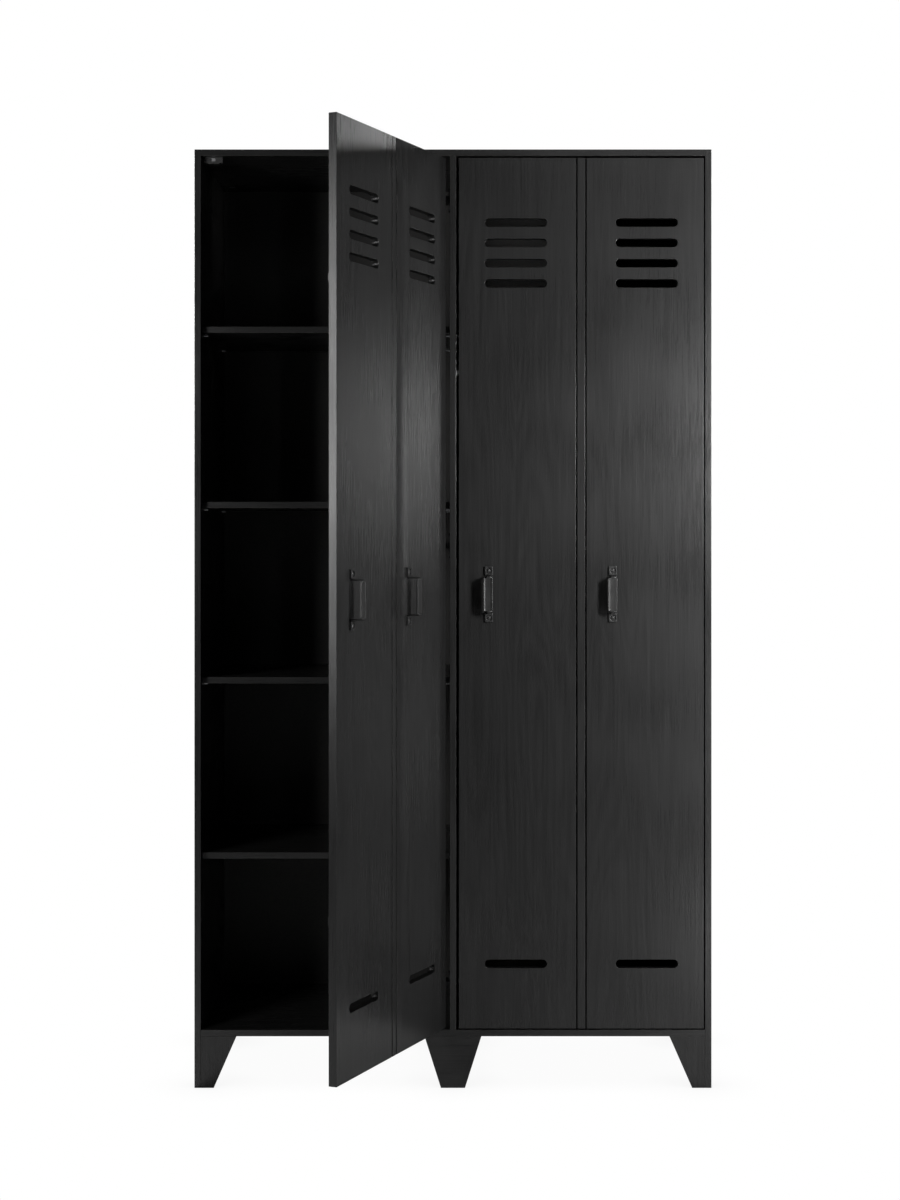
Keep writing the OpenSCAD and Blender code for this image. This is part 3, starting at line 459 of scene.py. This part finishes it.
def strap_half(reach):
    """Stations from an arm's foot to the grip's middle: height, distance out, turn from upright,
    half width, half thickness, share of beads and shift towards the door's free edge."""
    lean = math.atan2(ARM_Z - NECK_Z, reach)
    turn = math.pi / 2 - lean
    inward = ARM_T / 2 / math.cos(lean)
    neck_out = reach - ARM_T / 2
    straight = neck_out - NECK_BEND
    stations = []
    for i in range(ARM_STEPS + 1):
        out = straight * i / ARM_STEPS
        stations.append((ARM_Z - inward - out * math.tan(lean), out, turn, ARM_W / 2, ARM_T / 2, 0.0, 0.0))
    centre = (stations[-1][0] - NECK_BEND * math.cos(lean), straight)
    for i in range(1, BEND_STEPS + 1):
        a = turn * (1 - i / BEND_STEPS)
        stations.append((centre[0] + NECK_BEND * math.sin(a), centre[1] + NECK_BEND * math.cos(a), a,
                         ARM_W / 2, ARM_T / 2, 0.0, 0.0))
    for i in range(SWELL_STEPS + 1):
        swell = math.sin(math.pi / 2 * i / SWELL_STEPS)
        half_t = (ARM_T + (GRIP_T - ARM_T) * swell) / 2
        stations.append((GRIP_END_Z + SWELL * (1 - i / SWELL_STEPS), reach - half_t, 0.0,
                         ARM_W / 2 + (GRIP_W - ARM_W) / 2 * swell, half_t, swell, GRIP_SHIFT * swell))
    grip_end = stations[-1]
    for i in range(1, GRIP_STEPS + 1):
        stations.append((grip_end[0] * (1 - i / GRIP_STEPS), *grip_end[1:]))
    return stations


def handle_mesh(name, reach):
    """A cast handle around its own middle on the door's face: two pads, two arms and a rimmed grip."""
    bm = bmesh.new()
    half = strap_half(reach)
    whole = half + [(-z, out, -turn, *rest) for z, out, turn, *rest in reversed(half[:-1])]
    rings = []
    for z, out, turn, half_w, half_t, beads, shift in whole:
        ring = []
        for x, n in section(half_w, half_t, beads):
            point = Vector((x + shift, -(out + n * math.cos(turn)), z + n * math.sin(turn)))
            ring.append(bm.verts.new(point * MM))
        rings.append(ring)
    ring_faces(bm, rings)
    for way in WAYS:
        pad(bm, way)
    return mesh_from(bm, name, smooth_angle=40)


def pan_head(bm, way):
    """A pan head with a cross recess, standing in its seat. Returns its vertices."""
    base = PAD_T - SEAT_DEPTH

    def cross(reach, waist):
        return around(lambda t: waist + (reach - waist) * abs(math.cos(2 * t)) ** CROSS_SHARPNESS)

    rings = [(around(lambda t: HEAD_R - inset), base + up) for inset, up in HEAD_DOME]
    rings += [(cross(reach, waist), base + HEAD_H - depth) for reach, waist, depth in CROSS]
    return turned(bm, SCREW_Z * way, rings)


def head_mesh(name, spots):
    """The heads of a door's handle screws, two at each handle's spot."""
    bm = bmesh.new()
    for spot in spots:
        for way in WAYS:
            bmesh.ops.transform(bm, matrix=spot, verts=pan_head(bm, way))
    return mesh_from(bm, name, smooth_angle=35)


def to_door(node):
    """Moves a handle's own frame onto the right door, at the CAD handle's pads."""
    low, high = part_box(node)
    middle_x = low.x + (GRIP_W / 2 - GRIP_SHIFT) * MM
    return Matrix.Translation((middle_x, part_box("door_panel_right")[0].y, (low.z + high.z) / 2))


handle_low, handle_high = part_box("handle_right_outer")
REACH = (handle_high.y - handle_low.y) / MM
SPOTS = {place: to_door("handle_right_" + place) for place in ("outer", "inner")}

for side, door in DOOR.items():
    body = side + "_door"
    for place, spot in SPOTS.items():
        replaced = "handle_" + side + "_" + place
        name = replaced + "_cast"
        piece(name, handle_mesh(name, REACH), door @ spot, body, "black_handle_steel", replaced)
    name = "handle_screw_heads_" + side
    piece(name, head_mesh(name, SPOTS.values()), door, body, "black_screws", "handle_screws_" + side)


# ---------- studio ----------

FLOOR_HALF_SIZE = 14.0
FLOOR_GREY = 0.6
# The camera sees a white floor with a painted contact shadow: it is this much darker where something stands this
# close above it.
PAINTED_CONTACT_SHADOW_LEVEL = 0.86
PAINTED_CONTACT_SHADOW_REACH = 0.12
WORLD_LIGHT = 0.003
# Name, place and aim in metres, width and height in metres, power in watts, and spread in degrees.
LAMPS = (
    ("key_light", (1.05, -1.1, 1.38), (0.1, -0.1, 1.34), (0.16, 0.4), 11.0, 120),
    ("upper_right_light", (1.0, -1.0, 2.1), (0.3, -0.1, 1.7), (0.3, 0.4), 2.4, 180),
    ("upper_light", (0.45, -1.6, 2.4), (0.25, -0.05, 1.75), (0.5, 0.3), 0.3, 110),
    ("middle_right_light", (1.0, -1.0, 0.6), (0.4, 0.0, 0.4), (0.3, 0.4), 1.9, 120),
    ("lower_right_light", (0.9, -0.8, 0.15), (0.5, 0.0, 0.15), (0.5, 0.25), 0.8, 120),
    ("left_light", (-1.6, -1.75, 1.43), (-0.2, -0.45, 1.4), (0.6, 1.25), 15.5, 180),
    ("left_heart", (-1.6, -1.75, 1.5), (-0.2, -0.45, 1.46), (0.6, 0.7), 6.6, 180),
    ("rear_left_light", (-1.8, 3.2, 2.3), (-0.1, 0.4, 0.9), (1.4, 1.8), 60.0, 70),
    ("rear_right_light", (2.2, 2.8, 1.5), (0.1, 0.4, 0.9), (1.2, 1.8), 45.0, 70),
)
# The photograph's viewpoint in metres. The lens is in mm, for a sensor whose longer side is 36 mm.
CAMERA_PLACE = (-0.006, -4.1795, 1.114)
CAMERA_LENS = 61.65
CAMERA_SHIFT_Y = -0.0505
CAMERA_CLIP_END = 60.0


def studio_floor():
    """A floor that looks white to the camera, with a painted contact shadow under what stands on it, and reflects
    light as pale grey paint does.
    """
    bm = bmesh.new()
    bmesh.ops.create_grid(bm, x_segments=1, y_segments=1, size=FLOOR_HALF_SIZE)
    mesh = bpy.data.meshes.new("floor")
    bm.to_mesh(mesh)
    bm.free()
    floor = bpy.data.objects.new("floor", mesh)
    bpy.context.scene.collection.objects.link(floor)
    s = Surface("floor_paint")
    speckle = s.noise(s.place, 30.0, detail=3.0)
    s.set(base_color=s.blend(speckle, grey(FLOOR_GREY * 0.97), grey(FLOOR_GREY)), roughness=0.9)
    s.set(specular_ior_level=0.1)
    # Painted shadow: the glow the camera sees is dimmed where the floor is close under something.
    occlusion_for_painted_shade = s.add("AmbientOcclusion", {"Distance": PAINTED_CONTACT_SHADOW_REACH}, samples=8).outputs["AO"]
    shown = s.add("Emission", {"Strength": s.span(occlusion_for_painted_shade, 0.0, 1.0, PAINTED_CONTACT_SHADOW_LEVEL, 1.0)})
    seen = s.add("LightPath").outputs["Is Camera Ray"]
    mix = s.add("MixShader", {0: seen, 1: s.shader.outputs[0], 2: shown.outputs[0]})
    s.put(s.tree.nodes["Material Output"].inputs["Surface"], mix.outputs[0])
    floor.data.materials.append(s.material)


def studio_world():
    """White behind the object, and a dim even light on it."""
    world = bpy.data.worlds.new("studio")
    world.use_nodes = True
    tree = world.node_tree
    tree.nodes.clear()
    seen = tree.nodes.new("ShaderNodeLightPath")
    shown = tree.nodes.new("ShaderNodeBackground")
    shown.inputs["Strength"].default_value = 1.0
    lit = tree.nodes.new("ShaderNodeBackground")
    lit.inputs["Strength"].default_value = WORLD_LIGHT
    for node in (shown, lit):
        node.inputs["Color"].default_value = grey(1.0)
    mix = tree.nodes.new("ShaderNodeMixShader")
    out = tree.nodes.new("ShaderNodeOutputWorld")
    tree.links.new(seen.outputs["Is Camera Ray"], mix.inputs[0])
    tree.links.new(lit.outputs[0], mix.inputs[1])
    tree.links.new(shown.outputs[0], mix.inputs[2])
    tree.links.new(mix.outputs[0], out.inputs[0])
    bpy.context.scene.world = world


def softbox(name, place, aim, size, watts, spread):
    """A soft rectangular lamp, turned towards its aim."""
    data = bpy.data.lights.new(name, "AREA")
    data.spread = math.radians(spread)
    data.shape = "RECTANGLE"
    data.size, data.size_y = size
    data.energy = watts
    lamp = bpy.data.objects.new(name, data)
    lamp.location = place
    lamp.rotation_euler = (Vector(aim) - Vector(place)).to_track_quat("-Z", "Y").to_euler()
    bpy.context.scene.collection.objects.link(lamp)


def photo_camera():
    """A level camera that looks along the cabinet's depth, as the photograph's did."""
    data = bpy.data.cameras.new("camera")
    data.lens = CAMERA_LENS
    data.shift_y = CAMERA_SHIFT_Y
    data.clip_end = CAMERA_CLIP_END
    camera = bpy.data.objects.new("camera", data)
    camera.location = CAMERA_PLACE
    camera.rotation_euler = (math.pi / 2, 0.0, 0.0)
    bpy.context.scene.collection.objects.link(camera)
    bpy.context.scene.camera = camera


studio_floor()
studio_world()
for lamp_settings in LAMPS:
    softbox(*lamp_settings)
photo_camera()
bpy.context.scene.view_settings.view_transform = "Standard"
